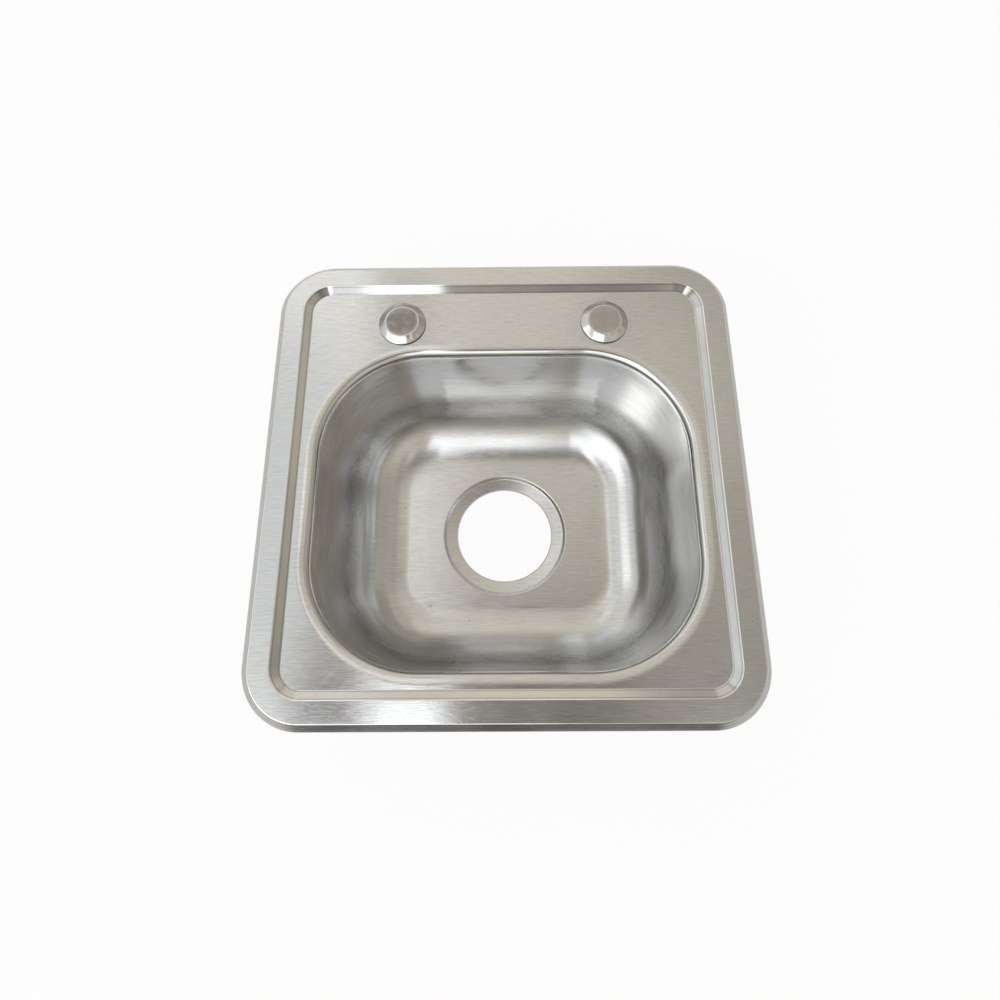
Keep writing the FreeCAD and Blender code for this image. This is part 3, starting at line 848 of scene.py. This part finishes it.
def makeHead(form):
    # A six-sided head with a chamfer below, and a bar that cuts the slot across it
    top, low = form["headTop"], form["headTop"] - form["headHeight"]
    shell = newShell()
    rows = [addRow(shell, [(x * grow, y * grow, height)
                           for x, y, height in ringOf(form["headRadius"], level, turnsOf(6))])
            for grow, level in ((1.0, top), (1.0, low + form["chamfer"]), (form["chamferShare"], low))]
    bridge(shell, rows[0], rows[1])
    bridge(shell, rows[1], rows[2])
    shell["faces"] += [tuple(rows[0][::-1]), tuple(rows[2])]
    head = addObject("head", finishMesh("head", shell, creaseAngle=25))
    bar = newShell()
    wide, half = form["headRadius"] * form["slotOver"], form["slotWidth"] / 2
    rows = [addQuad(bar, wide, half, level) for level in (low - form["slotBelow"], low + form["slotDepth"])]
    bridge(bar, *rows)
    bar["faces"] += [tuple(rows[0][::-1]), tuple(rows[1])]
    cutter = addObject("cutter", finishMesh("cutter", bar))
    cut = head.modifiers.new("slot", "BOOLEAN")
    cut.object = cutter
    cut.operation = "DIFFERENCE"
    cut.solver = "EXACT"
    graph = bpy.context.evaluated_depsgraph_get()
    mesh = bpy.data.meshes.new_from_object(head.evaluated_get(graph))
    bpy.data.objects.remove(head)
    bpy.data.objects.remove(cutter)
    return mesh


def makeScrews(form):
    radius, tip, top, edge = form["radius"], form["tip"], form["headTop"], form["tipChamfer"]
    core, foot = radius - form["threadDepth"], top - form["sunk"]
    shell = newShell()
    lathe(shell, [(0, tip), (core - edge, tip), (core, tip - edge), (core, top + form["neckFrom"]),
                  (radius, top + form["neckTo"]), (radius, foot), (0, foot)], segments=40)
    threadRidge(shell, radius, form["threadDepth"], form["pitch"], top + form["ridgeFrom"],
                tip - form["ridgeTo"], steps=18)
    shank = finishMesh("shank", shell, creaseAngle=40)
    work = bmesh.new()
    work.from_mesh(makeHead(form))
    work.from_mesh(shank)
    mesh = bpy.data.meshes.new("clipScrew")
    work.to_mesh(mesh)
    work.free()
    mesh.set_sharp_from_angle(angle=math.radians(30))
    for name, (turns, way) in clipPlaces.items():
        body = "clip_screw_" + name
        piece = addPiece("clipScrew." + name, mesh, "screwSteel", body, [body])
        turn = Matrix.Rotation(turns * math.pi / 2, 4, "Z")
        piece.matrix_world = turn @ Matrix.Translation(Vector((clipReach, way * clipAlong, 0)) * mm)


makeScrews(screwForm)
print("stage: screws cut")

# Foam strip: soft sides that bulge between the rim and the worktop
stripForm = {"outer": 6.5, "width": 5.0, "top": 5.8, "bulge": 0.25, "corner": 1.0, "sideRound": 8.0,
             "topRound": 0.5, "start": 2.0}


def makeStrip(form):
    left, right, top = form["outer"], form["outer"] + form["width"], form["top"]
    pinch, corner = form["bulge"], form["corner"]
    side, above, start = form["sideRound"], form["topRound"], (left + form["start"], 0)
    section = bentPath([start, (left + pinch, 0), (left, top / 2), (left + pinch, top),
                        (right - pinch, top), (right, top / 2), (right - pinch, 0), start],
                       [corner, side, above, above, side, corner], steps=6)
    shell = newShell()
    path = roundedPath(sink["halfX"], sink["halfY"], sink["corner"], cornerSteps=20, gap=8.0)
    rows = sweepProfile(shell, path, sink["corner"], section[:-1])
    bridge(shell, rows[-1], rows[0])
    addPiece("foamStrip", finishMesh("foamStrip", shell), "gasketFoam", "sink",
             ["rim_gasket"])


makeStrip(stripForm)

# Parts that keep their solid's form: start of the name, look, width of the eased edges, and the places
pair = ("left", "right")
kept = [
    ("clip_bracket_", "bracketSteel", 0.25, clipPlaces),
    ("clip_washer_", "platedSteel", 0.12, clipPlaces),
    ("clip_claw_", "platedSteel", 0.25, clipPlaces),
    ("clamp_plate_", "platedSteel", 0.2, pair),
    ("wing_nut_", "castZinc", 0.45, pair),
    ("cap_seal_", "sealRubber", 0.2, pair),
    ("sound_pad_", "dampingPad", 0.5, pair),
]
for start, look, edge, places in kept:
    for place in places:
        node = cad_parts[start + place]
        for slotHolder in node.material_slots:
            slotHolder.material = looks[look]
        easeEdges(node, edge, angle=40, steps=3)
print("stage: fittings dressed")

# Floor, world and lamp: a pale floor with a patch of painted shade in front, a soft ceiling that is brighter
# to the left, and one key lamp
floorLook = {"size": 4000.0, "below": 0.4, "tone": (0.80, 0.80, 0.79), "cloud": 3.0, "cloudTone": 0.96,
             "white": 0.93, "glossWhite": 0.14, "drainLight": 0.62, "drainReach": (0.045, 0.075),
             # A dark patch on the floor ahead of the sink, out of the camera's view, is painted shade for the
             # front rim to mirror
             "paintedShade": (0.06, 0.06, 0.065), "paintedShadeSide": 0.10, "paintedShadeSoft": 0.20, "paintedShadeAt": (-0.60, -0.90)}


def makeFloor(look):
    size, height = look["size"], sink["floorLevel"] - sink["recessDepth"] - sink["sheet"] - look["below"]
    shell = newShell()
    shell["faces"].append(tuple(addQuad(shell, size, size, height)))
    floor = addObject("floor", finishMesh("floor", shell, faceUp=True))
    material, tree, shader = newMaterial("paleFloor", {"Metallic": 0.0, "Roughness": 0.9})
    place = objectPlace(tree)
    cloud = noiseOf(tree, place, detail=3.0, scale=look["cloud"])
    tint = toned(tree, ramped(tree, cloud, *spans["rough"], look["cloudTone"], 1.0), (0, 0, 0), look["tone"])
    parts = partsOf(tree, place)
    # Painted shade: a dark patch painted on the floor ahead of the sink, out of the camera's view
    paintedShade = product(tree, ramped(tree, parts[1], *look["paintedShadeAt"]),
                  between(tree, parts[0], -look["paintedShadeSide"], look["paintedShadeSide"], look["paintedShadeSoft"]))
    tree.links.new(toned(tree, paintedShade, tint, look["paintedShade"]), shader.inputs["Base Color"])
    white = addNode(tree, "Emission", {"Strength": 1.0})
    rays = addNode(tree, "LightPath").outputs
    seen = computed(tree, "MAXIMUM", rays["Is Camera Ray"], rays["Is Transmission Ray"])
    shine = ramped(tree, paintedShade, 0.0, 1.0, look["glossWhite"], 0.0)
    # The patch below the drain gets more light, and the walls mirror it
    offset = computed(tree, "SUBTRACT", parts[1], sink["bowlMiddle"] * mm)
    away = computed(tree, "ADD", product(tree, parts[0], parts[0]), product(tree, offset, offset))
    patch = ramped(tree, computed(tree, "SQRT", away), *look["drainReach"], look["drainLight"], 0.0)
    gloss = product(tree, rays["Is Glossy Ray"], computed(tree, "MAXIMUM", shine, patch))
    share = computed(tree, "MAXIMUM", product(tree, seen, look["white"]), gloss)
    mixed = addNode(tree, "MixShader", {0: share, 1: shader.outputs[0], 2: white.outputs[0]})
    # A camera below the floor sees through it
    behind = addNode(tree, "NewGeometry").outputs["Backfacing"]
    behind = product(tree, behind, rays["Is Camera Ray"])
    clear = addNode(tree, "BsdfTransparent")
    mixed = addNode(tree, "MixShader", {0: behind, 1: mixed.outputs[0], 2: clear.outputs[0]})
    tree.links.new(mixed.outputs[0], tree.nodes["Material Output"].inputs["Surface"])
    floor.data.materials.append(material)


makeFloor(floorLook)

# The studio's ceiling, laid out as a plane one metre above the sink: x and y are metres from overhead.
# It is bright and neutral to the left and warmer to the right; windows stand out of it and dark flags cut in.
ceiling = {
    "across": [(-2.4, (0.78, 0.80, 0.81)), (-1.2, (0.89, 0.92, 0.93)), (-0.42, (0.92, 0.94, 0.935)),
               (-0.26, (0.99, 0.98, 0.94)), (-0.14, (0.86, 0.825, 0.76)), (0.04, (0.82, 0.77, 0.69)),
               (0.32, (0.72, 0.67, 0.58)), (0.42, (0.62, 0.58, 0.50)), (0.62, (0.68, 0.62, 0.53)),
               (1.2, (0.64, 0.58, 0.49)), (2.4, (0.48, 0.44, 0.38))],
    "wall": (0.36, 0.36, 0.35), "wallAt": (0.46, 0.20), "lowest": 0.02,
    "front": (0.09, 0.09, 0.095), "frontAt": (0.34, 0.18), "frontSide": (-0.5, -0.9),
}
# Each box: left, right, front and back edge, softness of its edges, and tone
ceilingBoxes = {
    "lowMiddle": (-0.30, 0.42, -0.36, 0.16, 0.05, (0.49, 0.435, 0.37)),
    "rightDip": (0.30, 0.60, -0.40, 0.34, 0.05, (0.49, 0.45, 0.385)),
    "rightBand": (0.60, 1.40, -0.10, 0.55, 0.12, (0.52, 0.48, 0.42)),
    "floorGlow": (-0.23, -0.10, 0.16, 0.36, 0.04, (1.36, 1.34, 1.30)),
    "backLeftDip": (-0.80, -0.46, 0.34, 0.72, 0.06, (0.82, 0.82, 0.79)),
    "backLeftGlow": (-0.50, -0.26, 0.70, 0.95, 0.03, (1.45, 1.45, 1.42)),
    "backRightDip": (0.26, 0.62, 0.68, 1.00, 0.04, (0.53, 0.50, 0.43)),
    "rightBack": (0.80, 2.40, 0.55, 1.80, 0.14, (0.42, 0.385, 0.33)),
    "backFar": (-1.70, 0.30, 0.86, 1.45, 0.10, (0.93, 0.87, 0.755)),
    "leftEdge": (-0.50, -0.30, 0.08, 0.50, 0.06, (0.88, 0.905, 0.91)),
    "cornerFlag": (-0.345, -0.25, -0.18, 0.06, 0.025, (0.44, 0.43, 0.415)),
    "cornerSpot": (-0.335, -0.228, -0.17, -0.064, 0.008, (0.15, 0.15, 0.15)),
    "frontFlag": (-0.085, 0.22, -0.14, 0.025, 0.025, (0.205, 0.20, 0.195)),
    "frontFlagRight": (0.20, 0.50, -0.14, 0.025, 0.04, (0.385, 0.37, 0.34)),
    "backStepDip": (0.05, 0.27, -0.42, -0.15, 0.03, (0.35, 0.335, 0.31)),
    "backStepGlow": (0.285, 0.45, -0.42, -0.15, 0.02, (0.86, 0.84, 0.80)),
    "frontWindow": (-0.222, -0.100, -0.42, -0.055, 0.006, (2.30, 2.43, 2.56)),
    "backStepWindow": (-0.50, -0.225, -0.42, -0.175, 0.010, (1.85, 1.93, 2.02)),
    "stripWindow": (-0.235, -0.085, -0.055, 0.02, 0.02, (1.00, 0.99, 0.95)),
    "bigWindow": (-3.20, 0.10, -1.12, -0.36, 0.03, (1.66, 1.71, 1.75)),
    "sideWindow": (-3.20, -0.45, -2.20, -0.90, 0.10, (1.55, 1.58, 1.60)),
    "leftWindow": (-1.30, -0.70, -0.45, 0.38, 0.08, (1.55, 1.56, 1.55)),
    "frontRight": (0.40, 1.20, -1.30, -0.40, 0.10, (0.74, 0.72, 0.67)),
    "leftCoverFlag": (-0.245, -0.15, 0.60, 0.70, 0.015, (0.34, 0.31, 0.28)),
    "rightCoverFlag": (0.15, 0.245, 0.60, 0.70, 0.015, (0.46, 0.43, 0.385)),
}


def makeWorld(look, boxes):
    world = bpy.data.worlds.new("studio")
    world.use_nodes = True
    tree = world.node_tree
    scene.world = world
    way = addNode(tree, "TexCoord").outputs["Generated"]
    parts = partsOf(tree, way)
    height = computed(tree, "MAXIMUM", parts[2], look["lowest"])
    x, y = [computed(tree, "DIVIDE", part, height) for part in parts[:2]]
    tone = look["across"][0][1]
    for (low, _), (high, after) in zip(look["across"], look["across"][1:]):
        tone = toned(tree, ramped(tree, x, low, high), tone, after)
    for left, right, front, back, soft, boxTone in boxes.values():
        mask = product(tree, between(tree, x, left, right, soft), between(tree, y, front, back, soft))
        tone = toned(tree, mask, tone, boxTone)
    tone = toned(tree, ramped(tree, parts[2], *look["wallAt"]), tone, look["wall"])
    ahead = ramped(tree, parts[1], *look["frontSide"])
    low = ramped(tree, parts[2], *look["frontAt"])
    tone = toned(tree, product(tree, ahead, low), tone, look["front"])
    rays = addNode(tree, "LightPath").outputs
    seen = computed(tree, "MAXIMUM", rays["Is Camera Ray"], rays["Is Transmission Ray"])
    tone = toned(tree, seen, tone, (1, 1, 1))
    tree.links.new(tone, tree.nodes["Background"].inputs["Color"])


makeWorld(ceiling, ceilingBoxes)

keyBox = {"place": (-1250, -900, 1600), "size": 900, "power": 6.0, "tone": (1.0, 0.99, 0.98)}


def makeLamp(name, lamp):
    light = bpy.data.lights.new(name, "AREA")
    light.shape = "SQUARE"
    light.size = lamp["size"] * mm
    light.energy = lamp["power"]
    light.color = lamp["tone"]
    holder = addObject(name, light)
    holder.location = Vector(lamp["place"]) * mm
    holder.rotation_mode = "QUATERNION"
    holder.rotation_quaternion = holder.location.to_track_quat("Z", "Y")


makeLamp("keyBox", keyBox)
print("stage: studio lit")
